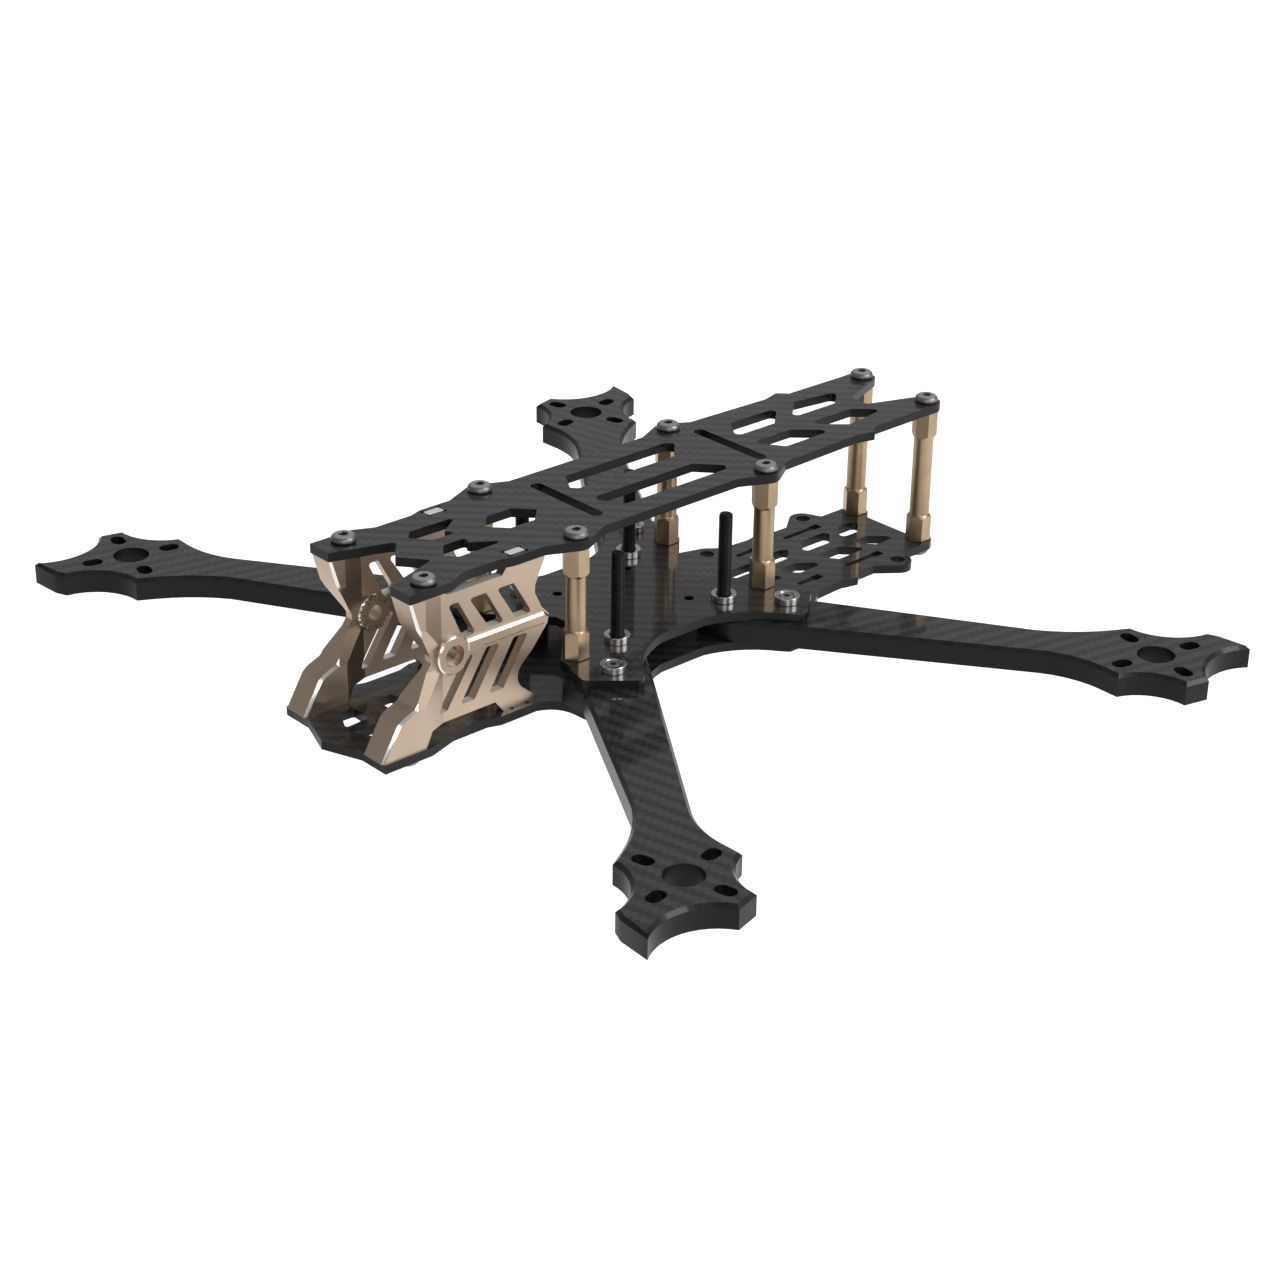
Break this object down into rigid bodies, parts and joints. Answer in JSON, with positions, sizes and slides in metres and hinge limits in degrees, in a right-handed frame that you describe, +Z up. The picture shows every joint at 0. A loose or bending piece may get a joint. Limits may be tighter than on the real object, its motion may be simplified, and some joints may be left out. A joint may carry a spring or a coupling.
{
  "type": "quadcopter airframe",
  "caption": "Bare quadcopter airframe: flat carbon plates on standoffs, diagonal arms with motor pads, and metal camera side plates.",
  "frame": {"origin": "centre of the electronics stack's bolt pattern, on the top face of the middle plate", "axes": "+X to the right-hand side, +Y to the tail, +Z up"},
  "size_m": [0.2082, 0.1704, 0.0392],
  "materials": {
    "carbon": "satin twill carbon fibre laminate with matt cut edges",
    "camera_plate_metal": "champagne-bronze anodised, machined, with bright chamfers",
    "standoff_metal": "gold anodised, turned",
    "black_screw": "black oxide steel",
    "nut_steel": "bright plated steel"
  },
  "bodies": {
    "root": {"top_plate": "carbon", "mid_plate": "carbon", "lower_plate": "carbon", "camera_plate_left": "camera_plate_metal", "camera_plate_top_screw_left": "black_screw", "camera_plate_foot_screw_left": "black_screw", "tail_standoff_left": "standoff_metal", "tail_standoff_top_screw_left": "black_screw", "tail_standoff_foot_screw_left": "black_screw", "arm_front_left": "carbon", "standoff_front_left": "standoff_metal", "standoff_top_screw_front_left": "black_screw", "standoff_foot_screw_front_left": "black_screw", "stack_screw_front_left": "black_screw", "stack_nut_front_left": "nut_steel", "arm_screw_front_left": "black_screw", "arm_nut_front_left": "nut_steel", "arm_rear_left": "carbon", "standoff_rear_left": "standoff_metal", "standoff_top_screw_rear_left": "black_screw", "standoff_foot_screw_rear_left": "black_screw", "stack_screw_rear_left": "black_screw", "stack_nut_rear_left": "nut_steel", "arm_screw_rear_left": "black_screw", "arm_nut_rear_left": "nut_steel", "camera_plate_right": "camera_plate_metal", "camera_plate_top_screw_right": "black_screw", "camera_plate_foot_screw_right": "black_screw", "tail_standoff_right": "standoff_metal", "tail_standoff_top_screw_right": "black_screw", "tail_standoff_foot_screw_right": "black_screw", "arm_front_right": "carbon", "standoff_front_right": "standoff_metal", "standoff_top_screw_front_right": "black_screw", "standoff_foot_screw_front_right": "black_screw", "stack_screw_front_right": "black_screw", "stack_nut_front_right": "nut_steel", "arm_screw_front_right": "black_screw", "arm_nut_front_right": "nut_steel", "arm_rear_right": "carbon", "standoff_rear_right": "standoff_metal", "standoff_top_screw_rear_right": "black_screw", "standoff_foot_screw_rear_right": "black_screw", "stack_screw_rear_right": "black_screw", "stack_nut_rear_right": "nut_steel", "arm_screw_rear_right": "black_screw", "arm_nut_rear_right": "nut_steel"}
  },
  "joints": []
}
